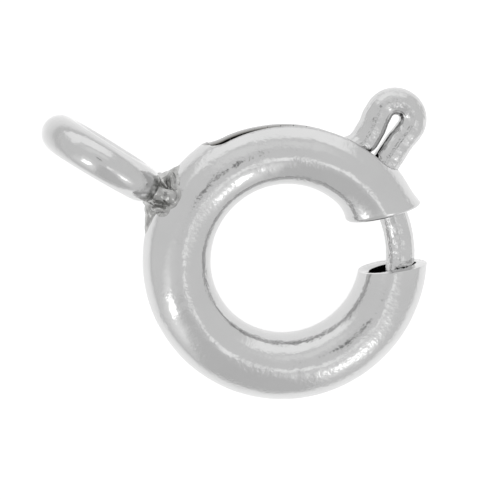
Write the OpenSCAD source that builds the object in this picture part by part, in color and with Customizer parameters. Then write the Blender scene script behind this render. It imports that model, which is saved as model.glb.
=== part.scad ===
// Spring ring clasp, lying as it comes to rest: the tube ring leans down at the mouth side,
// and its connector ring, which stands taller than the tube, props up the other side.
// The origin is the centre of the tube ring. +X points from the connector ring to the ring's
// far side. Angles round the ring start there and run towards the trigger.

/* [Tube ring] */
// Outside diameter of the tube ring
ring_od = 12; // [11.4:0.2:14]
// Outside diameter of the rolled tube
tube_d = 2.85; // [2.75:0.05:3.1]
// Thickness of the tube's wall
tube_wall = 0.2; // [0.15:0.01:0.22]

/* [Mouth] */
// Gap between the tube's two ends, on its centreline
mouth_gap = 2.35; // [1.9:0.05:2.6]
// Angle between the two cut ends, which part outwards
mouth_taper = 4.5; // [2:0.1:12]
// Place of the mouth's middle round the ring
mouth_at = 37.7; // [34:0.1:42]
// Rounding of the closed nose that the bolt comes out of
nose_round = 0.4; // [0.3:0.05:0.4]
// Depth of the solid metal in the nose
nose_depth = 0.5; // [0.5:0.05:0.7]

/* [Bolt] */
// Diameter of the wire that the bolt and its trigger are bent from
bolt_wire = 1.12; // [1:0.02:1.14]
// Clearance of the bolt's tail in the spring, on the ring's outer side
tail_clearance = 0.085; // [0.065:0.01:0.165]
// Length of the bolt's tip inside the open end of the tube
bolt_reach = 0.7; // [0.5:0.05:1]
// Radial clearance of the bolt in the nose
bolt_clearance = 0.08; // [0.05:0.01:0.1]
// Chamfer at the bolt's tip and at its tail
bolt_chamfer = 0.25; // [0.15:0.05:0.3]
// Length of the tail that guides the spring
tail_length = 3.4; // [2.5:0.1:4]
// Angle that the bolt slides through round the ring
bolt_travel = 63; // [50:1:64]

/* [Trigger] */
// Angle round the ring from the mouth's middle to the trigger's foot
trigger_from_mouth = 41; // [40:0.5:44]
// Angle that the trigger leans back, away from the mouth
trigger_lean = 8.3; // [4:0.1:10]
// Height of the loop's centre above the inside of the tube's wall
trigger_height = 1.65; // [1.6:0.05:2]
// Radius of the loop's head, at the middle of the wire
trigger_head_r = 0.73; // [0.71:0.01:0.85]
// Width of the slit between the two legs, at the foot
trigger_slit = 0.24; // [0.16:0.02:0.26]
// Bend radius of the leg that runs into the tail, at the middle of the wire
tail_bend = 1; // [0.9:0.05:1.1]
// Bend radius of the leg that runs into the bolt's tip, at the middle of the wire
tip_bend = 0.85; // [0.75:0.05:0.95]

/* [Slot] */
// Width of the slot that the trigger slides in
slot_width = 2; // [1.8:0.05:2.1]
// Clearance between the trigger and each end of the slot
slot_clearance = 0.05; // [0.03:0.01:0.1]

/* [Spring] */
// Radial clearance of the coil spring in the tube
spring_fit = 0.1; // [0.08:0.01:0.12]
// Diameter of the spring's wire
spring_wire = 0.18; // [0.14:0.01:0.2]
// Number of turns
spring_turns = 26; // [20:1:30]
// Place round the ring of the stop that the spring's far end rests on
spring_stop_at = 240; // [225:1:250]
// Thickness of that stop
spring_stop_thickness = 0.4; // [0.3:0.05:0.6]
// Clearance of the spring's ends
spring_clearance = 0.05; // [0.03:0.01:0.08]

/* [Connector ring] */
// Outside diameter of the connector ring
eye_od = 5.45; // [5:0.05:6]
// Diameter of its wire
eye_wire = 1.54; // [1.4:0.02:1.64]
// Gap between the connector ring and the tube, filled with solder
eye_gap = 0.1; // [0.06:0.01:0.14]
// Angle that the ring is turned off square, as it was soldered
eye_turn = -3.5; // [-4:0.5:4]
// Angle that the ring leans off upright, as it was soldered
eye_tip = -2; // [-4:0.5:4]
// Half width of the solder joint where it is narrowest
solder_half_width = 0.48; // [0.4:0.02:0.6]
// Half height of the solder joint
solder_half_height = 1.25; // [1.15:0.05:1.3]
// Radius of the solder's hollow sides
solder_side_r = 0.75; // [0.7:0.05:0.9]
// Radius of the solder's hollow top and underside
solder_top_r = 1.2; // [1:0.05:1.4]

/* [Hidden] */
$fn = 72;

tube_r = tube_d / 2;
bore_r = tube_r - tube_wall;
ring_r = (ring_od - tube_d) / 2;
bolt_r = bolt_wire / 2;
spring_r = bore_r - spring_fit;
bolt_path_r = ring_r + spring_r - spring_wire - tail_clearance - bolt_r;
wall_inside_r = ring_r + bore_r;
margin = 1;
cut_overlap = 0.03;

// A knuckle is a ball, a hair thicker than the wire, over the tiny gap between two stretches of it
knuckle_gap = 0.02;
knuckle_swell = 0.004;

// The mouth's cut faces pass this far from the ring's centre
mouth_half_taper = mouth_taper / 2;
mouth_miss = mouth_gap / 2 * cos(mouth_half_taper) - ring_r * sin(mouth_half_taper);
mouth_half_angle = mouth_half_taper + asin(mouth_miss / ring_r);
nose_at = mouth_at + mouth_half_angle;
open_end_at = mouth_at - mouth_half_angle;

// The trigger's foot, its head and the direction of its axis
function polar(radius, angle) = radius * [cos(angle), sin(angle)];
function arc_angle(length, radius) = length / radius * 180 / PI;
function unit(v) = v / norm(v);
foot_at = mouth_at + trigger_from_mouth;
axis_at = foot_at + trigger_lean;
foot = polar(wall_inside_r, foot_at);
head = foot + polar(trigger_height, axis_at);
leg_offset = (bolt_wire + trigger_slit) / 2;
leg_spread = asin((trigger_head_r - leg_offset) / trigger_height);

// A leg on one side of the axis: side is 1 towards the tail and -1 towards the tip
function leg_normal(side) = polar(1, axis_at + side * (90 + leg_spread));
function leg_direction(side) = polar(1, axis_at + side * leg_spread);
function bend_centre(side, bend) =
    let (across = foot * leg_normal(side) + leg_offset + bend)
    let (along = sqrt(pow(bolt_path_r + bend, 2) - pow(across, 2)))
    across * leg_normal(side) + along * leg_direction(side);
function angle_of(point) = atan2(point[1], point[0]);
function edge_angle(side, radius) =
    let (across = foot * leg_normal(side) + leg_offset + bolt_r)
    let (along = sqrt(pow(radius, 2) - pow(across, 2)))
    angle_of(across * leg_normal(side) + along * leg_direction(side));

tail_centre = bend_centre(1, tail_bend);
tip_centre = bend_centre(-1, tip_bend);
tail_start = angle_of(tail_centre);
tip_start = angle_of(tip_centre);
knuckle_angle = arc_angle(knuckle_gap, bolt_path_r);
tip_end = open_end_at - arc_angle(bolt_reach - bolt_chamfer, bolt_path_r);
tail_end = tail_start + arc_angle(tail_length - bolt_chamfer, bolt_path_r);

// The slot runs from the trigger at rest to the trigger drawn fully back
slot_end_half = arc_angle(slot_width / 2, ring_od / 2);
slot_gap_angle = arc_angle(slot_clearance, wall_inside_r);
slot_from = edge_angle(-1, wall_inside_r) - slot_gap_angle + slot_end_half;
slot_to = edge_angle(1, wall_inside_r) + slot_gap_angle + bolt_travel - slot_end_half;
slot_floor_r = ring_r + sqrt(pow(bore_r, 2) - pow(slot_width / 2, 2)) / 2;
slot_end_swell = 0.02;

// The spring lies on the tube's centreline, between the tail's bend and the stop
spring_path_r = spring_r - spring_wire / 2;
spring_end_gap = spring_wire / 2 + spring_clearance;
spring_from = edge_angle(1, wall_inside_r) + arc_angle(spring_end_gap, ring_r);
spring_to = spring_stop_at - arc_angle(spring_end_gap, ring_r);
turn_steps = 14;
wire_sides = 5;

// The connector ring stands across the tube ring, and the clasp leans until both touch down
eye_r = (eye_od - eye_wire) / 2;
eye_at = ring_od / 2 + eye_gap + eye_od / 2;
rest_lean = asin((eye_od / 2 - tube_r) / (ring_r + eye_at));

// The solder's hollow top is a circle that touches the tube and the connector ring
top_tube_reach = tube_r + solder_top_r;
top_eye_reach = eye_od / 2 + solder_top_r;
top_base = eye_at - ring_r;
top_along = (pow(top_tube_reach, 2) - pow(top_eye_reach, 2) + pow(top_base, 2)) / (2 * top_base);
top_height = sqrt(pow(top_tube_reach, 2) - pow(top_along, 2));
side_across = solder_half_width + solder_side_r;
side_along = ring_od / 2 + eye_gap / 2;
side_spread = solder_half_width + solder_side_r / 2;
solder_inset = 0.15;
eye_spread = eye_wire / 2 - solder_inset;
solder_from = ring_r + top_along * tube_r / top_tube_reach;
solder_to = eye_at - eye_r - cut_overlap;

module torus(path_r, wire_r) {
    rotate_extrude()
        translate([path_r, 0])
            circle(wire_r);
}

module sector(path_r, from, to, wire_r) {
    rotate([0, 0, from])
        rotate_extrude(angle = to - from)
            translate([path_r, 0])
                circle(wire_r);
}

// A bent or straight stretch of the bolt's wire stops just short of its ends, where a knuckle joins it
module wire_bend(centre, path_r, from, to) {
    set_back = arc_angle(knuckle_gap, path_r);
    translate(centre)
        sector(path_r, from + set_back, to - set_back, bolt_r);
}

module wire_leg(from, to) {
    run = to - from;
    set_back = knuckle_gap * unit(run);
    translate(from + set_back)
        rotate([0, 90, angle_of(run)])
            cylinder(h = norm(run) - 2 * knuckle_gap, r = bolt_r);
}

module knuckle(place) {
    translate(place)
        sphere(bolt_r + knuckle_swell);
}

// A chamfered end of the bolt's wire, at an angle round the ring; way is 1 or -1
module wire_end(angle, way) {
    translate(polar(bolt_path_r, angle))
        rotate([0, 90, angle + way * 90])
            translate([0, 0, -knuckle_gap])
                cylinder(h = bolt_chamfer, r1 = bolt_r - knuckle_swell, r2 = bolt_r - bolt_chamfer);
}

// The wedge that parts the tube's two ends
module mouth_cut() {
    near = ring_r - tube_r - margin;
    far = ring_od / 2 + margin;
    near_half = mouth_gap / 2 + (near - ring_r) * tan(mouth_half_taper);
    far_half = mouth_gap / 2 + (far - ring_r) * tan(mouth_half_taper);
    rotate([0, 0, mouth_at])
        linear_extrude(height = tube_d + 2 * margin, center = true)
            polygon([
                [near, -near_half],
                [far, -far_half],
                [far, far_half],
                [near, near_half],
            ]);
}

// What is turned off the nose to round its rim
module nose_rounding() {
    depth = mouth_miss + nose_round;
    cap_from = sqrt(pow(ring_od / 2 - tube_d, 2) - pow(depth, 2));
    cap_to = sqrt(pow(ring_od / 2, 2) - pow(depth, 2));
    cap_r = (cap_to - cap_from) / 2 + cut_overlap;
    rotate([0, 0, mouth_at + mouth_half_taper])
        translate([(cap_from + cap_to) / 2, mouth_miss])
            rotate([-90, 0, 0])
                rotate_extrude()
                    translate([0, -cut_overlap])
                        difference() {
                            square([tube_r + margin, nose_round]);
                            square([cap_r - nose_round, nose_round]);
                            translate([cap_r - nose_round, nose_round])
                                circle(nose_round);
                        }
}

// The slot's round ends are a hair wider than the slot between them
module trigger_slot() {
    rotate([0, 0, slot_from])
        rotate_extrude(angle = slot_to - slot_from)
            translate([slot_floor_r, -slot_width / 2])
                square([tube_r + margin, slot_width]);
    for (end_at = [slot_from, slot_to])
        rotate([0, 90, end_at])
            translate([0, 0, slot_floor_r])
                cylinder(h = tube_r + margin, r = slot_width / 2 + slot_end_swell);
}

module tube_shell() {
    nose_angle = arc_angle(nose_depth, ring_r);
    stop_angle = arc_angle(spring_stop_thickness, ring_r);
    plug_r = tube_r - tube_wall / 2;
    difference() {
        union() {
            difference() {
                torus(ring_r, tube_r);
                torus(ring_r, bore_r);
                trigger_slot();
            }
            sector(ring_r, mouth_at, nose_at + nose_angle, plug_r);
            sector(ring_r, spring_stop_at, spring_stop_at + stop_angle, plug_r);
        }
        mouth_cut();
        nose_rounding();
        sector(bolt_path_r, mouth_at, nose_at + 2 * nose_angle, bolt_r + bolt_clearance);
    }
}

// The solder's outline from above: narrow in the middle, it spreads where it meets both rings
module solder_plan() {
    difference() {
        union() {
            translate([-side_along, -side_spread])
                square([side_along - solder_from, 2 * side_spread]);
            translate([-solder_to, -eye_spread])
                square([solder_to - side_along, 2 * eye_spread]);
        }
        for (side = [-1, 1])
            translate([-side_along, side * side_across])
                circle(solder_side_r);
    }
}

// The solder's outline from the side: hollow between the two round surfaces
module solder_side() {
    difference() {
        translate([-solder_to, -top_height])
            square([solder_to - solder_from, 2 * top_height]);
        for (side = [-1, 1])
            translate([-ring_r - top_along, side * top_height])
                circle(solder_top_r + cut_overlap);
    }
}

module solder_joint() {
    intersection() {
        linear_extrude(height = 2 * top_height, center = true)
            solder_plan();
        rotate([90, 0, 0])
            linear_extrude(height = 2 * side_across, center = true)
                solder_side();
        rotate([0, -90, 0])
            cylinder(h = eye_at, r = solder_half_height);
    }
}

module connector_ring() {
    translate([-side_along, 0, 0])
        rotate([0, 0, eye_turn])
            translate([side_along - eye_at, 0, 0])
                rotate([90 + eye_tip, 0, 0])
                    torus(eye_r, eye_wire / 2);
}

// The tube, the connector ring and the solder that joins them are one piece of metal
module ring_body() {
    color("silver")
        rotate([0, rest_lean, 0]) {
            tube_shell();
            connector_ring();
            difference() {
                solder_joint();
                torus(ring_r, tube_r - tube_wall / 2);
            }
        }
}

// One wire: the tip that closes the mouth, the looped trigger, and the tail inside the spring
module bolt() {
    leg_top = [for (side = [-1, 1]) head + trigger_head_r * leg_normal(side)];
    leg_foot = [
        tip_centre - tip_bend * leg_normal(-1),
        tail_centre - tail_bend * leg_normal(1),
    ];
    color("gainsboro")
        rotate([0, rest_lean, 0]) {
            wire_end(tip_end, -1);
            wire_bend([0, 0], bolt_path_r, tip_end - knuckle_angle, tip_start);
            knuckle(polar(bolt_path_r, tip_start));
            wire_bend(tip_centre, tip_bend, angle_of(-leg_normal(-1)), tip_start + 180);
            wire_bend(head, trigger_head_r, axis_at - 90 - leg_spread, axis_at + 90 + leg_spread);
            wire_bend(tail_centre, tail_bend, tail_start - 180, angle_of(-leg_normal(1)));
            knuckle(polar(bolt_path_r, tail_start));
            wire_bend([0, 0], bolt_path_r, tail_start, tail_end + knuckle_angle);
            wire_end(tail_end, 1);
            for (side = [0, 1]) {
                knuckle(leg_foot[side]);
                wire_leg(leg_foot[side], leg_top[side]);
                knuckle(leg_top[side]);
            }
        }
}

// A point of the coil, which winds round the tube's centreline
function coil_point(step) =
    let (turn = 360 * step / turn_steps)
    let (share = step / (spring_turns * turn_steps))
    let (at = spring_from + (spring_to - spring_from) * share)
    let (out = ring_r + spring_path_r * cos(turn))
    [out * cos(at), out * sin(at), spring_path_r * sin(turn)];
function coil_centre(step) =
    let (share = step / (spring_turns * turn_steps))
    let (at = spring_from + (spring_to - spring_from) * share)
    [ring_r * cos(at), ring_r * sin(at), 0];
function coil_ring(step) =
    let (along = unit(coil_point(step + 0.5) - coil_point(step - 0.5)))
    let (side = unit(cross(along, coil_point(step) - coil_centre(step))))
    let (out = cross(side, along))
    [for (corner = [0:wire_sides - 1])
        let (turn = 360 * corner / wire_sides)
        coil_point(step) + spring_wire / 2 * (cos(turn) * out + sin(turn) * side)];

module spring() {
    steps = spring_turns * turn_steps;
    points = [for (step = [0:steps]) each coil_ring(step)];
    walls = [
        for (step = [0:steps - 1], corner = [0:wire_sides - 1])
            let (a = step * wire_sides + corner)
            let (b = step * wire_sides + (corner + 1) % wire_sides)
            each [[a, b, b + wire_sides], [a, b + wire_sides, a + wire_sides]]
    ];
    first_cap = [for (corner = [wire_sides - 1:-1:0]) corner];
    last_cap = [for (corner = [0:wire_sides - 1]) steps * wire_sides + corner];
    color("lightslategray")
        rotate([0, rest_lean, 0])
            polyhedron(points = points, faces = concat([first_cap], walls, [last_cap]));
}

ring_body();
bolt();
spring();
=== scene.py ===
import bpy
import math
from mathutils import Matrix, Vector


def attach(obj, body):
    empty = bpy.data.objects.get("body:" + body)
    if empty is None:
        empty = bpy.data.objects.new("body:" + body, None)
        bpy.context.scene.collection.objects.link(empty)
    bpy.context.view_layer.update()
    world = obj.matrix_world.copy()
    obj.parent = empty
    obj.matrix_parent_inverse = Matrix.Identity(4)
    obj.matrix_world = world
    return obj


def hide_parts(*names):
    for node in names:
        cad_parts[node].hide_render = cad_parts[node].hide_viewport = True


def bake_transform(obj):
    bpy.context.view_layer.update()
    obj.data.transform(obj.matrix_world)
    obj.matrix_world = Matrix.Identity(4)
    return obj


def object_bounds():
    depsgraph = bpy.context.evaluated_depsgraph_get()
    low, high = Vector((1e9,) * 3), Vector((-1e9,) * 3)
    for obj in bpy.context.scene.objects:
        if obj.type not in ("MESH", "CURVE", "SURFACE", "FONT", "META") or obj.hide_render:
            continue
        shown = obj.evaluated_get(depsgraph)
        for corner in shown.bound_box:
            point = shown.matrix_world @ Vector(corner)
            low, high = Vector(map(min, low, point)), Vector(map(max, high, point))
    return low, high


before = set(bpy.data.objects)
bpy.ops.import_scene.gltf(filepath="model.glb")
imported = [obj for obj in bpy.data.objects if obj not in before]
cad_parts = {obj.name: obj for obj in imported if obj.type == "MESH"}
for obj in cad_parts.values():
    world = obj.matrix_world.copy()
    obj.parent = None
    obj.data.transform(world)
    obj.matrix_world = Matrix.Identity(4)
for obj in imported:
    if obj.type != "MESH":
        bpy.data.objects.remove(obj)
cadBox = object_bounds()
print("frame loaded")

# Pieces are drawn in the tube ring's own plane, one unit to the millimetre,
# then shrunk to metres and leaned the way the clasp comes to rest.
mm = 0.001
restLean = math.radians(5.567)
down = (0, 0, -1)        # spin turns clockwise about its axis, so this gives the other way
up = (0, 0, 1)
nearBy = 0.01            # slack when points are picked by how far off they lie
onPlane = 0.00015        # points this near a cut were made by it


def polar(radius, degrees):
    a = math.radians(degrees)
    return Vector((radius * math.cos(a), radius * math.sin(a), 0))


def smooth(share):
    share = min(max(share, 0), 1)
    return share * share * (3 - 2 * share)


# turns a circle so that a wire leaves it along this direction, its first point on the outer side
def squareTo(direction):
    d = direction.normalized()
    ringAxis = Vector(up)
    return Matrix((ringAxis, d.cross(ringAxis), d)).transposed().to_euler()


def deselect():
    if bpy.context.mode != "OBJECT":
        bpy.ops.object.mode_set(mode="OBJECT")
    bpy.ops.object.select_all(action="DESELECT")


# names the new primitive, puts its place into its mesh and opens it in edit mode
def openPiece(name):
    obj = bpy.context.object
    obj.name = name
    obj.data.name = name
    bpy.ops.object.transform_apply()
    bpy.ops.object.mode_set(mode="EDIT")
    bpy.ops.mesh.select_mode(type="VERT")
    bpy.ops.mesh.select_all(action="SELECT")
    return obj


def pick(obj, test):
    bpy.ops.mesh.select_all(action="DESELECT")
    bpy.ops.object.mode_set(mode="OBJECT")
    for v in obj.data.vertices:
        v.select = bool(test(v.co))
    bpy.ops.object.mode_set(mode="EDIT")


def applyModifier(obj, kind, **settings):
    mod = obj.modifiers.new(kind.title(), kind)
    for key, value in settings.items():
        setattr(mod, key, value)
    bpy.ops.object.modifier_apply(modifier=mod.name)


def scaleEnd(factor, centre):
    if abs(factor - 1) > 1e-6:
        bpy.ops.transform.resize(value=(factor,) * 3, center_override=centre)


# bends the selected end of a wire round a centre; radii has the wire's radius before
# and after each cut, and endAt says where the cut lies
def turnWire(centre, degrees, axis, radii, steps, endAt=lambda share: None):
    cuts = len(radii) - 1
    for k in range(cuts):
        bpy.ops.mesh.spin(steps=steps, angle=math.radians(degrees / cuts), center=centre, axis=axis)
        scaleEnd(radii[k + 1] / radii[k], endAt((k + 1) / cuts))


def runWire(start, end, radii):
    cuts = len(radii) - 1
    step = (end - start) / cuts
    for k in range(cuts):
        bpy.ops.mesh.extrude_region_move(TRANSFORM_OT_translate={"value": step})
        scaleEnd(radii[k + 1] / radii[k], start + step * (k + 1))


# remembers where each point lies round the wire, for marks that run along it
def markRound(obj, points):
    marks = obj.data.attributes.new("roundWire", "FLOAT_VECTOR", "POINT")
    for k in range(points):
        a = 2 * math.pi * k / points
        marks.data[k].vector = (math.cos(a), math.sin(a), 0)


def finishPiece(obj, body, nodes, material, sharp=32):
    deselect()
    obj.select_set(True)
    bpy.context.view_layer.objects.active = obj
    obj.scale = (mm, mm, mm)
    obj.rotation_euler = (0, restLean, 0)
    bpy.ops.object.transform_apply()
    bpy.ops.object.shade_smooth_by_angle(angle=math.radians(sharp))
    obj.data.materials.clear()
    obj.data.materials.append(material)
    if body:
        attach(obj, body)
    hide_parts(*nodes)
    print(obj.name, len(obj.data.polygons), "faces")


# -------- materials
def linear(hexCode):
    parts = [int(hexCode[k:k + 2], 16) / 255 for k in (0, 2, 4)]
    return [c / 12.92 if c <= 0.04045 else ((c + 0.055) / 1.055) ** 2.4 for c in parts] + [1]


# adds one node; a lower-case setting is the node's own, any other key names a socket
def addNode(material, kind, settings, links={}):
    node = material.node_tree.nodes.new(kind)
    for key, value in settings.items():
        if isinstance(key, str) and key.islower():
            setattr(node, key, value)
        else:
            node.inputs[key].default_value = value
    for key, socket in links.items():
        material.node_tree.links.new(socket, node.inputs[key])
    return node


def addMath(material, operation, settings, links):
    return addNode(material, "ShaderNodeMath", {"operation": operation, **settings}, links).outputs[0]


def addRange(material, value, before, after, way="LINEAR"):
    return addNode(material, "ShaderNodeMapRange", {
        "interpolation_type": way, "From Min": before[0], "From Max": before[1],
        "To Min": after[0], "To Max": after[1]}, {"Value": value}).outputs[0]


def addNoise(material, place, sizeMm, settings):
    return addNode(material, "ShaderNodeTexNoise", {"Scale": 1 / (sizeMm * mm), **settings},
                   {"Vector": place}).outputs["Fac"]


def addBump(material, height, depthMm, below={}):
    return addNode(material, "ShaderNodeBump", {"Strength": 1, "Distance": depthMm * mm},
                   {"Height": height, **below}).outputs["Normal"]


def startMaterial(name):
    material = bpy.data.materials.new(name)
    material.use_nodes = True
    material.node_tree.nodes.clear()
    return material


def metalFinish(name, look):
    m = startMaterial(name)
    place = addNode(m, "ShaderNodeTexCoord", {}).outputs["Object"]
    wave = addNoise(m, place, look["waveMm"], {"Detail": 1.5, "Roughness": 0.45})
    fine = addNoise(m, place, look["fineMm"], {"Detail": 3})
    patch = addNoise(m, place, look["patchMm"], {"Detail": 3})
    # the fine pitting comes and goes from place to place
    pitted = addRange(m, patch, (0.42, 0.6), (0.2, 1))
    pits = addMath(m, "MULTIPLY", {}, {0: fine, 1: pitted})
    normal = addBump(m, wave, look["waveDepthMm"])
    normal = addBump(m, pits, look["fineDepthMm"], {"Normal": normal})
    dim = patch
    if "creaseMm" in look:
        crease = addNode(m, "ShaderNodeTexVoronoi", {
            "feature": "DISTANCE_TO_EDGE", "Scale": 1 / (look["creaseMm"] * mm)}, {"Vector": place})
        normal = addBump(m, crease.outputs["Distance"], look["creaseDepthMm"], {"Normal": normal})
        # painted shade: the colour goes darker in the hollows, where shade falls
        hollow = addNode(m, "ShaderNodeNewGeometry", {}).outputs["Pointiness"]
        paintedHollowShade = addRange(m, hollow, (0.5, 0.43), (0, 0.9))
        dim = addMath(m, "MAXIMUM", {}, {0: patch, 1: paintedHollowShade})
    if "lines" in look:
        # die lines along the drawn wire: a noise that is much the same all along it
        roundWire = addNode(m, "ShaderNodeAttribute", {"attribute_name": "roundWire"}).outputs["Vector"]
        drift = addNode(m, "ShaderNodeVectorMath", {"operation": "MULTIPLY_ADD", 1: (60,) * 3},
                        {0: place, 2: roundWire}).outputs["Vector"]
        lines = addNode(m, "ShaderNodeTexNoise", {"Scale": look["lines"], "Detail": 2}, {"Vector": drift})
        normal = addBump(m, lines.outputs["Fac"], look["lineDepthMm"], {"Normal": normal})
    colour = addNode(m, "ShaderNodeMix", {
        "data_type": "RGBA", 6: linear(look["colour"]), 7: linear(look["dimColour"])}, {0: dim}).outputs[2]
    rough = addRange(m, patch, (0.35, 0.65), look["rough"])
    # painted shade: marked places take a dark colour and more roughness
    if "insideShadeColour" in look:
        insideShade = addNode(m, "ShaderNodeAttribute", {"attribute_name": "insideShade"}).outputs["Fac"]
        colour = addNode(m, "ShaderNodeMix", {"data_type": "RGBA", 7: linear(look["insideShadeColour"])},
                         {0: insideShade, 6: colour}).outputs[2]
        rough = addMath(m, "MULTIPLY_ADD", {1: look["insideRough"]}, {0: insideShade, 2: rough})
    shader = addNode(m, "ShaderNodeBsdfPrincipled", {"Metallic": 1},
                     {"Base Color": colour, "Roughness": rough, "Normal": normal})
    addNode(m, "ShaderNodeOutputMaterial", {}, {"Surface": shader.outputs[0]})
    return m


# rhodium-coloured plating over polished brass: tumbled, so mirrors come out soft and a little wavy
platedBrass = metalFinish("polished plated brass", {
    "colour": "D0D0D0", "dimColour": "C7C7C7", "rough": (0.07, 0.14), "patchMm": 1.6,
    "waveMm": 1.1, "waveDepthMm": 0.036, "fineMm": 0.16, "fineDepthMm": 0.017,
    # painted shade: the tube's inside is coloured dark, as it lies in shade behind the slot, and it is
    # rougher
    "insideShadeColour": "6A6864", "insideRough": 0.35,
})
# the same plating on drawn wire, whose faint die lines run along it
platedWire = metalFinish("polished plated wire", {
    "colour": "D0D0D0", "dimColour": "C5C5C5", "rough": (0.07, 0.13), "patchMm": 1.2,
    "waveMm": 0.9, "waveDepthMm": 0.03, "fineMm": 0.12, "fineDepthMm": 0.008,
    "lines": 2.2, "lineDepthMm": 0.02,
})
# and on the bolt's wire, dented and marked by the tools that bent it
bentWire = metalFinish("plated wire, marked by bending", {
    "colour": "D0D0D0", "dimColour": "C3C3C3", "rough": (0.07, 0.14), "patchMm": 0.8,
    "waveMm": 0.45, "waveDepthMm": 0.055, "fineMm": 0.14, "fineDepthMm": 0.035,
    "lines": 2.6, "lineDepthMm": 0.04,
})
# silver solder under the plating: frozen lumps, duller and darker than the rings, with painted shade in
# its hollows
silverSolder = metalFinish("plated silver solder", {
    "colour": "D0D0CF", "dimColour": "777775", "rough": (0.1, 0.2), "patchMm": 0.4,
    "waveMm": 0.5, "waveDepthMm": 0.03, "fineMm": 0.12, "fineDepthMm": 0.012,
    "creaseMm": 0.4, "creaseDepthMm": 0.06,
})
# spring steel, coloured nearly black as painted shade, for it lies in shade in the slot and hardly shows
springWithPaintedShade = metalFinish("spring steel painted dark for shade", {
    "colour": "404040", "dimColour": "262626", "rough": (0.4, 0.55), "patchMm": 0.8,
    "waveMm": 0.5, "waveDepthMm": 0.001, "fineMm": 0.06, "fineDepthMm": 0.0006,
})
print("materials made")

# -------- tube ring
tube = {
    "ringRadius": 4.575,     # middle of the tube
    "tubeRadius": 1.425,
    "wall": 0.2,
    "pointsRound": 97,       # so that a point falls on each edge of the slot
    "slotSteps": 70,
    "stepsBefore": 14,       # from the slot's front end to where the tube is started
    "startsShort": 11,       # degrees from the mouth's middle to where it may end
    "slotFrom": 74.52,       # centres of the slot's round ends, in degrees round the ring
    "slotTo": 145.58,
    "slotSides": (-0.9994, 0.8598),
    "slotEndReach": 0.6,     # radians past those centres that the round ends are drawn from
    "slotEndFade": 0.3,      # how far outside them the metal follows, in half widths
    "slotOuter": 0.2,        # the slot is further out than this from the tube's middle
    "slotRise": 4,           # degrees round the tube that its lower side comes up by at the rear
    "riseAlong": (124, 24, 166, 11),   # round the ring: from, over how much, to, over how much
    "riseAcross": (-105, 50, 45),      # round the tube: from, over how much, and up to the middle
    "openEndFrom": 340,      # past this many degrees round the ring a point is the open end's,
    "noseUpTo": 80,          # and before this many the nose's
    "mouthAt": 37.7,
    "mouthTaper": 2.25,
    "mouthMiss": 0.9945,     # how far the cut faces pass from the ring's centre
    "noseRound": 0.201,
    "noseSteps": 8,
    "noseFlare": 0.14,       # the nose is spread a little where it was closed
    "flareLength": 0.9,
    "flareOutside": 1.1,     # from the tube's middle: the hole isn't spread
    "noseHole": 0.64,
    "holeDepth": 0.5,
    "holeLean": 8,           # it follows the bolt's path
    "boltPath": 4.875,
    "stopAt": 242.5,
    "stopThickness": 0.4,
    "stopBevel": 0.04,
    "edgeBevel": 0.045,
    "insideShadeFrom": 62,          # degrees round the ring
    "insideShadeDepth": 0.03,
    "crestIn": 0.1,          # the rolled tube isn't quite round: its crest lies nearer the middle
    "crestReach": (1.9, 0.4),  # how far from the tube's middle this ends, and over how much
    "lip": (0.2, 0.43),      # how far the open end's rim is turned in, across and up: an oval hole
    "lipLength": 0.32,
}
ringR, tubeR = tube["ringRadius"], tube["tubeRadius"]
midWall = tubeR - tube["wall"] / 2
slotLow, slotHigh = tube["slotSides"]
slotMid, slotHalf = (slotLow + slotHigh) / 2, (slotHigh - slotLow) / 2
roundEnd = math.degrees(math.asin(slotHalf / (ringR + tubeR)))
slotStart = tube["slotFrom"] - roundEnd
slotStop = tube["slotTo"] + roundEnd
ringStep = (slotStop - slotStart) / tube["slotSteps"]
tubeFrom = slotStart - tube["stepsBefore"] * ringStep
tubeSteps = math.ceil((360 + tube["mouthAt"] - tube["startsShort"] - tubeFrom) / ringStep)


def aroundRing(co):
    return (math.degrees(math.atan2(co.y, co.x)) - tubeFrom) % 360 + tubeFrom


def offCentreline(co):
    return math.hypot(math.hypot(co.x, co.y) - ringR, co.z)


def leanCrest(obj):
    reach, over = tube["crestReach"]
    for v in obj.data.vertices:
        share = (v.co.z / tubeR) ** 2 * smooth((reach - offCentreline(v.co)) / over)
        v.co.xy = v.co.xy * (1 - tube["crestIn"] * share / v.co.xy.length)


deselect()
bpy.ops.mesh.primitive_circle_add(vertices=tube["pointsRound"], radius=tubeR,
                                  location=polar(ringR, tubeFrom),
                                  rotation=squareTo(polar(1, tubeFrom + 90)))
tubeRing = openPiece("tube_ring")
bpy.ops.mesh.spin(steps=tubeSteps, angle=math.radians(tubeSteps * ringStep), center=(0, 0, 0),
                  axis=down)
bpy.ops.mesh.select_all(action="SELECT")
bpy.ops.mesh.normals_make_consistent(inside=False)


# the slot: a square hole first, then its ends are drawn in to half circles
def inSlot(co):
    along = slotStart + 0.3 * ringStep < aroundRing(co) < slotStop - 0.3 * ringStep
    return along and slotLow + 0.02 < co.z < slotHigh - 0.02 and math.hypot(co.x, co.y) > ringR


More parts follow.
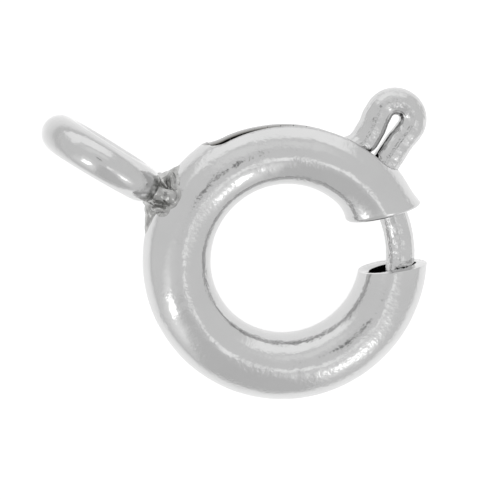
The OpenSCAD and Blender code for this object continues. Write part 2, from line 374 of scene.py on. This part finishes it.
pick(tubeRing, inSlot)
bpy.ops.mesh.delete(type="VERT")
bpy.ops.object.mode_set(mode="OBJECT")
for v in tubeRing.data.vertices:
    out = math.hypot(v.co.x, v.co.y)
    for endAt, way in ((tube["slotFrom"], -1), (tube["slotTo"], 1)):
        off = math.radians(aroundRing(v.co) - endAt) * way
        if out < ringR + tube["slotOuter"] or not 0 < off < tube["slotEndReach"]:
            continue
        x, z = out * math.sin(off) / slotHalf, (v.co.z - slotMid) / slotHalf
        size = max(x, abs(z))
        fade = 1 - smooth((size - 1) / tube["slotEndFade"])
        bx, bz = x / size, z / size
        x += bx * (math.sqrt(1 - bz * bz / 2) - 1) * fade
        z += bz * (math.sqrt(1 - bx * bx / 2) - 1) * fade
        z = slotMid + z * slotHalf
        out = ringR + math.sqrt(tubeR ** 2 - z ** 2)
        turned = endAt + way * math.degrees(math.asin(x * slotHalf / out))
        v.co = polar(out, turned) + Vector((0, 0, z))

# its lower side comes up a little towards the rear end
alongFrom, alongIn, alongTo, alongOut = tube["riseAlong"]
acrossFrom, acrossIn, acrossOut = tube["riseAcross"]
for v in tubeRing.data.vertices:
    at = aroundRing(v.co)
    section = math.degrees(math.atan2(v.co.z, math.hypot(v.co.x, v.co.y) - ringR))
    rise = smooth((at - alongFrom) / alongIn) * smooth((alongTo - at) / alongOut)
    rise = rise * smooth((section - acrossFrom) / acrossIn) * smooth(-section / acrossOut)
    if rise > 0:
        section = math.radians(section + tube["slotRise"] * rise)
        v.co = polar(ringR + tubeR * math.cos(section), at)
        v.co.z = tubeR * math.sin(section)

# the rolled wall
applyModifier(tubeRing, "SOLIDIFY", thickness=tube["wall"], offset=-1, use_even_offset=True)

# the open end, with its rim turned in
openFace = polar(1, tube["mouthAt"] - tube["mouthTaper"] - 90)
noseFace = polar(1, tube["mouthAt"] + tube["mouthTaper"] + 90)
bpy.ops.object.mode_set(mode="EDIT")
pick(tubeRing, lambda co: aroundRing(co) > tube["openEndFrom"])
bpy.ops.mesh.bisect(plane_co=openFace * tube["mouthMiss"], plane_no=openFace, clear_inner=True)
bpy.ops.mesh.bridge_edge_loops()
bpy.ops.object.mode_set(mode="OBJECT")
for v in tubeRing.data.vertices:
    deep = (v.co.dot(openFace) - tube["mouthMiss"]) / tube["lipLength"]
    if aroundRing(v.co) > tube["openEndFrom"] and deep < 1 and offCentreline(v.co) < midWall:
        middle = polar(ringR, aroundRing(v.co))
        turnedIn = 1 - max(deep, 0) ** 2
        v.co.z *= 1 - tube["lip"][1] * turnedIn
        v.co.xy = middle.lerp(v.co, 1 - tube["lip"][0] * turnedIn).xy
bpy.ops.object.mode_set(mode="EDIT")

# the nose, closed and rounded over
noseDepth = tube["mouthMiss"] + tube["noseRound"]
noseLean = tube["mouthAt"] + tube["mouthTaper"]


def onNose(co, depth):
    return abs(co.dot(noseFace) - depth) < onPlane and aroundRing(co) < tube["noseUpTo"]


pick(tubeRing, lambda co: aroundRing(co) < tube["noseUpTo"])
bpy.ops.mesh.bisect(plane_co=noseFace * noseDepth, plane_no=noseFace, clear_inner=True)
roundFrom = polar(ringR, noseLean + math.degrees(math.asin(noseDepth / ringR)))
roundTo = polar(ringR, noseLean + math.degrees(math.asin(tube["mouthMiss"] / ringR)))
pick(tubeRing, lambda co: onNose(co, noseDepth) and offCentreline(co) > midWall)
wasAt, wasRadius = roundFrom, tubeR
for k in range(1, tube["noseSteps"] + 1):
    a = math.radians(k * 90 / tube["noseSteps"])
    nowAt = roundFrom.lerp(roundTo, math.sin(a))
    nowRadius = tubeR - tube["noseRound"] * (1 - math.cos(a))
    bpy.ops.mesh.extrude_region_move(TRANSFORM_OT_translate={"value": nowAt - wasAt})
    bpy.ops.transform.resize(value=(nowRadius / wasRadius,) * 3, center_override=nowAt)
    wasAt, wasRadius = nowAt, nowRadius

# the hole that the bolt comes out of, with its rim a little rounded
holeTurn = noseLean + math.degrees(math.asin(tube["mouthMiss"] / tube["boltPath"]))
holeAt = polar(tube["boltPath"], holeTurn)
holeEnd = holeAt + polar(tube["holeDepth"], noseLean + 90 + tube["holeLean"])
holeReach = tube["noseHole"] + nearBy
bpy.ops.mesh.primitive_circle_add(vertices=tube["pointsRound"], radius=tube["noseHole"],
                                  location=holeAt, rotation=squareTo(noseFace))
pick(tubeRing, lambda co: onNose(co, tube["mouthMiss"]))
bpy.ops.mesh.bridge_edge_loops()
pick(tubeRing, lambda co: onNose(co, tube["mouthMiss"]) and (co - holeAt).length < holeReach)
bpy.ops.mesh.extrude_region_move(TRANSFORM_OT_translate={"value": holeEnd - holeAt})
pick(tubeRing, lambda co: (onNose(co, holeEnd.dot(noseFace)) and (co - holeEnd).length < holeReach)
     or (onNose(co, noseDepth) and offCentreline(co) < midWall))
bpy.ops.mesh.bridge_edge_loops()
bpy.ops.object.mode_set(mode="OBJECT")
for v in tubeRing.data.vertices:
    near = 1 - (v.co.dot(noseFace) - tube["mouthMiss"]) / tube["flareLength"]
    if (aroundRing(v.co) < tube["noseUpTo"] and near > 0
            and offCentreline(v.co) > tube["flareOutside"]):
        middle = polar(ringR, aroundRing(v.co))
        v.co.xy = middle.lerp(v.co, 1 + tube["noseFlare"] * near ** 2).xy
applyModifier(tubeRing, "BEVEL", width=tube["edgeBevel"], segments=2, limit_method="ANGLE",
              angle_limit=math.radians(50))

# painted shade: the wall's inside and the slot's cut edges are marked for a dark colour
insideShade = tubeRing.data.attributes.new("insideShade", "FLOAT", "POINT")
for v, mark in zip(tubeRing.data.vertices, insideShade.data):
    mark.value = (tube["insideShadeFrom"] < aroundRing(v.co) < tube["openEndFrom"]
                  and offCentreline(v.co) < tubeR - tube["insideShadeDepth"])

# the disc inside that the spring's far end rests on
deselect()
bpy.ops.mesh.primitive_cylinder_add(vertices=48, radius=midWall, depth=tube["stopThickness"],
                                    location=polar(ringR, tube["stopAt"]),
                                    rotation=squareTo(polar(1, tube["stopAt"] + 90)))
springStop = openPiece("spring_stop")
bpy.ops.mesh.bevel(offset=tube["stopBevel"], segments=2, affect="EDGES")
deselect()
springStop.select_set(True)
tubeRing.select_set(True)
bpy.context.view_layer.objects.active = tubeRing
bpy.ops.object.join()
leanCrest(tubeRing)
finishPiece(tubeRing, "ring_body", ["ring_body"], platedBrass)

# -------- connector ring
eye = {
    "wireAtTube": 0.76,
    "wireAtTip": 0.80,
    "radius": 1.955,
    "at": 8.825,             # its centre, from the tube ring's centre
    "root": 6.05,
    "turn": -3.5,            # soldered a little off square
    "tip": -2.0,
    "points": 64,
    "cuts": 48,
    "stepsPerCut": 4,
}
deselect()
bpy.ops.mesh.primitive_circle_add(vertices=eye["points"], radius=eye["wireAtTube"],
                                  location=polar(eye["radius"], 0),
                                  rotation=squareTo(polar(1, 90)))
connectorRing = openPiece("connector_ring")
bpy.ops.object.mode_set(mode="OBJECT")
markRound(connectorRing, eye["points"])
bpy.ops.object.mode_set(mode="EDIT")
swell = [eye["wireAtTube"] + (eye["wireAtTip"] - eye["wireAtTube"])
         * math.sin(math.pi * k / eye["cuts"]) ** 4 for k in range(eye["cuts"] + 1)]
turnWire((0, 0, 0), 360, down, swell, eye["stepsPerCut"],
         lambda share: polar(eye["radius"], 360 * share))
bpy.ops.mesh.select_all(action="SELECT")
bpy.ops.mesh.remove_doubles(threshold=0.001)
bpy.ops.mesh.normals_make_consistent(inside=False)
bpy.ops.object.mode_set(mode="OBJECT")
eyePlace = (Matrix.Translation((-eye["root"], 0, 0))
            @ Matrix.Rotation(math.radians(eye["turn"]), 4, "Z")
            @ Matrix.Translation((eye["root"] - eye["at"], 0, 0))
            @ Matrix.Rotation(math.radians(90 + eye["tip"]), 4, "X"))
connectorRing.matrix_world = eyePlace
bpy.ops.object.transform_apply()
finishPiece(connectorRing, "ring_body", ["ring_body"], platedWire)

# -------- solder joint
solder = {
    "voxel": 0.05,
    "smooth": 30,
    "skin": 0.08,            # it is closed inside the walls of both rings
    "alongTube": (158, 202),   # what it covers of the tube ring and of the eye, in degrees
    "alongEye": (-62, 62),
    # where it is cut off inside the rings: direction, and how far that way
    "cuts": [((0, 1, 0), 1.9), ((0, -1, 0), 1.9), ((1, 0, 0), -5.0), ((-1, 0, 0), 7.3)],
    # metal that ran and froze, in lumps: place, how long each way, turn about the ring's axis
    "lumps": [
        ((-6.20, -0.04, 0.00), (0.56, 0.56, 1.02), 0),
        ((-6.10, 0.06, 0.78), (0.58, 0.36, 0.30), 0),
        ((-5.74, 0.18, 1.04), (0.28, 0.34, 0.22), 10),
        ((-5.90, 0.72, 0.54), (0.44, 0.19, 0.42), -55),
        ((-5.88, -0.52, 0.88), (0.36, 0.14, 0.24), 20),
        ((-6.04, 0.68, 0.00), (0.28, 0.36, 0.50), -20),
        ((-5.92, 1.02, 0.00), (0.15, 0.32, 0.34), -14),
        ((-6.04, -0.72, 0.00), (0.26, 0.36, 0.50), 14),
        ((-5.95, -1.06, 0.00), (0.14, 0.36, 0.36), 12),
        ((-5.86, -1.38, 0.00), (0.08, 0.30, 0.22), 14),
        ((-6.08, 0.44, -0.60), (0.42, 0.36, 0.42), 0),
        ((-6.08, -0.46, -0.60), (0.42, 0.36, 0.40), 0),
        ((-5.96, 0.00, -0.98), (0.38, 0.40, 0.28), 0),
    ],
}


# a solid length of one of the rings, for the solder to grow on
def addStub(name, points, wireRadius, ringRadius, along, steps):
    deselect()
    bpy.ops.mesh.primitive_circle_add(vertices=points, radius=wireRadius, fill_type="NGON",
                                      location=polar(ringRadius, along[0]),
                                      rotation=squareTo(polar(1, along[0] + 90)))
    stub = openPiece(name)
    bpy.ops.mesh.spin(steps=steps, angle=math.radians(along[1] - along[0]), center=(0, 0, 0),
                      axis=down)
    return stub


solderJoint = addStub("solder_joint", 64, tubeR, ringR, solder["alongTube"], 44)
eyeStub = addStub("eye_stub", 48, eye["wireAtTube"], eye["radius"], solder["alongEye"], 62)
bpy.ops.object.mode_set(mode="OBJECT")
eyeStub.matrix_world = eyePlace
bpy.ops.object.transform_apply()
lumps = [eyeStub]
for place, size, turn in solder["lumps"]:
    deselect()
    bpy.ops.mesh.primitive_ico_sphere_add(subdivisions=3, location=place,
                                          rotation=(0, 0, math.radians(turn)))
    bpy.context.object.scale = size
    lumps.append(bpy.context.object)
deselect()
for obj in lumps:
    obj.select_set(True)
solderJoint.select_set(True)
bpy.context.view_layer.objects.active = solderJoint
bpy.ops.object.join()
solderJoint.data.remesh_voxel_size = solder["voxel"]
bpy.ops.object.voxel_remesh()
applyModifier(solderJoint, "SMOOTH", factor=0.5, iterations=solder["smooth"])
bpy.ops.object.mode_set(mode="EDIT")
for side, keep in solder["cuts"]:
    bpy.ops.mesh.select_all(action="SELECT")
    bpy.ops.mesh.bisect(plane_co=Vector(side) * keep, plane_no=side, clear_outer=True)
bpy.ops.object.mode_set(mode="OBJECT")
applyModifier(solderJoint, "SOLIDIFY", thickness=solder["skin"], offset=-1)
leanCrest(solderJoint)
finishPiece(solderJoint, "ring_body", ["ring_body"], silverSolder, 180)

# -------- bolt, its trigger and its tail: one wire
wire = {
    "radius": 0.6,
    "headRadius": 0.57,      # the wire is drawn a little thinner round the trigger's head
    "path": 4.875,
    "tipAt": 17.606,
    "tipBendAt": 62.741,
    "tipBendCentre": (2.6222, 5.0892, 0),
    "tipBendTurn": 67.477,
    "frontLeg": ((1.7751, 5.1594, 0), (1.9503, 7.2750, 0)),
    "head": (1.2228, 7.3353, 0),
    "headTurn": 183.473,
    "rearLeg": ((0.4930, 7.3514, 0), (0.4642, 6.0469, 0)),
    "legCuts": 10,
    "tailBendCentre": (-0.7855, 6.0745, 0),
    "tailBendTurn": 81.369,
    "tailFrom": 97.368,
    "tailAt": 132.299,
    "chamfer": 0.25,
    "points": 56,
    # the finished trigger: where each change begins or ends, and over how much
    "foot": (5.3, 0.6),
    "top": (6.4, 0.7),
    "pinchFrom": (5.4, 0.5),
    "pinchTo": (7.05, 0.5),
    "handOver": 0.055,       # it stands a hair forward of its bends,
    "eyeWider": 1.03,        # with its eye left a little open
    "headLower": 0.04,
    "pinch": 0.045,          # and its legs pinched together under it
}
deselect()
full, slim = wire["radius"], wire["headRadius"]
tipWay = polar(1, wire["tipAt"] + 90)
tipEnd = polar(wire["path"], wire["tipAt"])
tipStart = tipEnd - tipWay * wire["chamfer"]
bpy.ops.mesh.primitive_circle_add(vertices=wire["points"], radius=full - wire["chamfer"],
                                  location=tipStart, rotation=squareTo(tipWay))
bolt = openPiece("bolt_wire")
bpy.ops.object.mode_set(mode="OBJECT")
markRound(bolt, wire["points"])
bpy.ops.object.mode_set(mode="EDIT")
legRadii = [full + (slim - full) * (k / wire["legCuts"]) ** 2 for k in range(wire["legCuts"] + 1)]
runWire(tipStart, tipEnd, [full - wire["chamfer"], full])
turnWire((0, 0, 0), wire["tipBendAt"] - wire["tipAt"], down, [full, full], 60)
turnWire(wire["tipBendCentre"], wire["tipBendTurn"], up, [full, full], 28)
runWire(Vector(wire["frontLeg"][0]), Vector(wire["frontLeg"][1]), legRadii)
turnWire(wire["head"], wire["headTurn"], down, [slim, slim], 48)
runWire(Vector(wire["rearLeg"][0]), Vector(wire["rearLeg"][1]), legRadii[::-1])
turnWire(wire["tailBendCentre"], wire["tailBendTurn"], up, [full, full], 34)
turnWire((0, 0, 0), wire["tailAt"] - wire["tailFrom"], down, [full, full], 50)
tailEnd = polar(wire["path"], wire["tailAt"])
tailTip = tailEnd + polar(wire["chamfer"], wire["tailAt"] + 90)
runWire(tailEnd, tailTip, [full, full - wire["chamfer"]])
bpy.ops.mesh.edge_face_add()
pick(bolt, lambda co: (co - tipStart).length < full - wire["chamfer"] + nearBy)
bpy.ops.mesh.edge_face_add()
bpy.ops.mesh.select_all(action="SELECT")
bpy.ops.mesh.normals_make_consistent(inside=False)
bpy.ops.object.mode_set(mode="OBJECT")


# how far a place on the trigger lies past a height, as a share
def above(co, limit):
    return smooth((co.y - limit[0]) / limit[1])


def below(co, limit):
    return smooth((limit[0] - co.y) / limit[1])


for v in bolt.data.vertices:
    foot, head = above(v.co, wire["foot"]), above(v.co, wire["top"])
    aside = v.co.x - wire["head"][0]
    pinched = above(v.co, wire["pinchFrom"]) * below(v.co, wire["pinchTo"]) * math.copysign(1, aside)
    v.co.x += (wire["handOver"] * foot + aside * (wire["eyeWider"] - 1) * head
               - wire["pinch"] * pinched)
    v.co.y -= wire["headLower"] * head
finishPiece(bolt, "bolt", ["bolt"], bentWire)

# -------- coil spring
spring = {
    "wire": 0.09,
    "wirePoints": 10,
    "radius": 0.96,
    "turns": 26,
    "from": 92.75,
    "to": 238.25,
    "stepsTurn": 26,
}
springLength = math.radians(spring["to"] - spring["from"]) * ringR
deselect()
bpy.ops.mesh.primitive_circle_add(vertices=spring["wirePoints"], radius=spring["wire"],
                                  location=(0, spring["radius"], 0),
                                  rotation=(0, math.radians(90), 0))
coil = openPiece("spring_coil")
bpy.ops.object.mode_set(mode="OBJECT")
applyModifier(coil, "SCREW", axis="X", angle=2 * math.pi,
              screw_offset=springLength / spring["turns"], iterations=spring["turns"],
              steps=spring["stepsTurn"], render_steps=spring["stepsTurn"],
              use_normal_calculate=True)
for v in coil.data.vertices:
    at = spring["from"] + (spring["to"] - spring["from"]) * v.co.x / springLength
    v.co = polar(ringR + v.co.y, at) + Vector((0, 0, v.co.z))
bpy.ops.object.mode_set(mode="EDIT")
bpy.ops.mesh.select_all(action="SELECT")
bpy.ops.mesh.fill_holes(sides=spring["wirePoints"])
bpy.ops.mesh.normals_make_consistent(inside=False)
finishPiece(coil, None, ["spring"], springWithPaintedShade)
lean = Matrix.Rotation(restLean, 3, "Y")
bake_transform(coil)

# -------- camera, straight above but for a slight lean, as in the photograph
view = {
    "offAxis": 12.5,         # degrees off the tube ring's axis
    "offAxisAt": 128,        # the way it leans, as the picture shows the ring
    "ringTurn": 28.5,        # how far the ring is turned in the picture
    "widthMm": 20.88,
    "lens": 200,
    "centreMm": (-1.482, 0.355),
}
toWorld = lean @ Matrix.Rotation(math.radians(view["ringTurn"]), 3, "Z")
a, b = math.radians(view["offAxis"]), math.radians(view["offAxisAt"])
toCamera = Vector((math.sin(a) * math.cos(b), math.sin(a) * math.sin(b), math.cos(a)))
pictureRight = Vector((0, 1, 0)).cross(toCamera).normalized()
pictureUp = toCamera.cross(pictureRight)
toCamera = toWorld @ toCamera
pictureRight, pictureUp = toWorld @ pictureRight, toWorld @ pictureUp
lookAt = (pictureRight * view["centreMm"][0] + pictureUp * view["centreMm"][1]) * mm
cameraData = bpy.data.cameras.new("camera")
cameraData.lens = view["lens"]
cameraData.clip_start = 0.001
cameraData.clip_end = 10
camera = bpy.data.objects.new("camera", cameraData)
bpy.context.scene.collection.objects.link(camera)
distance = view["widthMm"] * mm / 2 / (cameraData.sensor_width / 2 / cameraData.lens)
cameraTurn = Matrix((pictureRight, pictureUp, toCamera)).transposed().to_4x4()
camera.matrix_world = Matrix.Translation(lookAt + toCamera * distance) @ cameraTurn
bpy.context.scene.camera = camera
print("camera", [round(c, 4) for c in camera.location])

# -------- studio: a white table whose glow is painted light, brighter under the clasp to wash out its shadow, inside a cloth tent whose walls are lit unevenly
studio = {
    "tableSize": 1.6,
    "tableColour": "B8B8B8",
    "tableGlowAndPaintedPool": (0.77, 0.3),     # painted light: a brighter glow under the clasp, and an even one further out
    "paintedPoolFade": (8, 30),         # mm from the ring's middle
    "tent": 0.86,
    "cloth": "FFFFFF",
    # each patch of the tent: degrees off the camera's line, direction in the picture,
    # half its length that way, half its width, how soft its edge is, how much brighter it is
    "patches": {
        "lens": (0, 90, 5, 5, 0.5, -0.6),
        "small lamp": (29, -54, 5, 5, 0.7, 0.42),
        "back wall": (66, 90, 22, 40, 0.25, 0.36),
        "top of the back wall": (26, 80, 9, 24, 0.6, 0.12),
        "open front": (65, 265, 38, 24, 0.4, -0.14),
        "glow round the lower right box": (58, -54, 20, 12, 1.2, 0.3),
        "glow round the left box": (56, 226, 24, 12, 1.2, 0.25),
    },
    # soft boxes outside it: the same four, then metres away and brightness
    "boxes": {
        "lower right box": (60, -54, 11, 5, 0.42, 0.8),
        "left box": (55, 224, 14, 5, 0.42, 0.8),
    },
}


def fromCamera(off, way):
    t, w = math.radians(off), math.radians(way)
    sideways = pictureRight * math.cos(w) + pictureUp * math.sin(w)
    return toCamera * math.cos(t) + sideways * math.sin(t)


deselect()
bpy.ops.mesh.primitive_plane_add(size=studio["tableSize"], location=(0, 0, cadBox[0][2]))
floor = bpy.context.object
floor.name = "floor"
bpy.ops.object.transform_apply()
whiteTable = startMaterial("white acrylic table")
place = addNode(whiteTable, "ShaderNodeTexCoord", {}).outputs["Object"]
away = addNode(whiteTable, "ShaderNodeVectorMath", {"operation": "LENGTH"}, {0: place}).outputs["Value"]
# painted light: the table glows brighter close under the clasp, so that no shadow shows there
glow = addRange(whiteTable, away, [edge * mm for edge in studio["paintedPoolFade"]], studio["tableGlowAndPaintedPool"],
                "SMOOTHSTEP")
table = addNode(whiteTable, "ShaderNodeBsdfPrincipled", {
    "Base Color": linear(studio["tableColour"]), "Roughness": 0.6,
    "Emission Color": linear("FFFFFF")}, {"Emission Strength": glow})
addNode(whiteTable, "ShaderNodeOutputMaterial", {}, {"Surface": table.outputs[0]})
floor.data.materials.append(whiteTable)

world = bpy.data.worlds.new("light tent")
world.use_nodes = True
world.node_tree.nodes.clear()
bpy.context.scene.world = world
direction = addNode(world, "ShaderNodeTexCoord", {}).outputs["Generated"]


# the part of the tent's directions that lies along this one
def alongside(way):
    return addNode(world, "ShaderNodeVectorMath", {"operation": "DOT_PRODUCT", 1: way},
                   {0: direction}).outputs["Value"]


bright = addNode(world, "ShaderNodeValue", {}).outputs[0]
bright.default_value = studio["tent"]
for off, way, halfLong, halfWide, soft, more in studio["patches"].values():
    towards, long = fromCamera(off, way), fromCamera(off + 90, way)
    share = addMath(world, "GREATER_THAN", {1: 0}, {0: alongside(towards)})
    for side, half in ((long, halfLong), (towards.cross(long), halfWide)):
        across = addMath(world, "ABSOLUTE", {}, {0: alongside(side)})
        reach = math.sin(math.radians(half))
        inside = addRange(world, across, (reach * (1 + soft / 2), reach * (1 - soft / 2)), (0, 1),
                          "SMOOTHSTEP")
        share = addMath(world, "MULTIPLY", {}, {0: share, 1: inside})
    bright = addMath(world, "MULTIPLY_ADD", {1: more}, {0: share, 2: bright})
background = addNode(world, "ShaderNodeBackground", {"Color": linear(studio["cloth"])},
                     {"Strength": bright})
addNode(world, "ShaderNodeOutputWorld", {}, {"Surface": background.outputs[0]})
for name, (off, way, halfLong, halfWide, metres, brightness) in studio["boxes"].items():
    data = bpy.data.lights.new(name, "AREA")
    data.shape = "ELLIPSE"
    data.size = 2 * metres * math.tan(math.radians(halfWide))
    data.size_y = 2 * metres * math.tan(math.radians(halfLong))
    data.energy = math.pi * data.size * data.size_y * brightness
    box = bpy.data.objects.new(name, data)
    bpy.context.scene.collection.objects.link(box)
    towards, long = fromCamera(off, way), fromCamera(off + 90, way)
    boxTurn = Matrix((long.cross(towards), long, towards)).transposed().to_4x4()
    box.matrix_world = Matrix.Translation(towards * metres) @ boxTurn
bpy.context.scene.view_settings.view_transform = "Standard"
print("studio made")
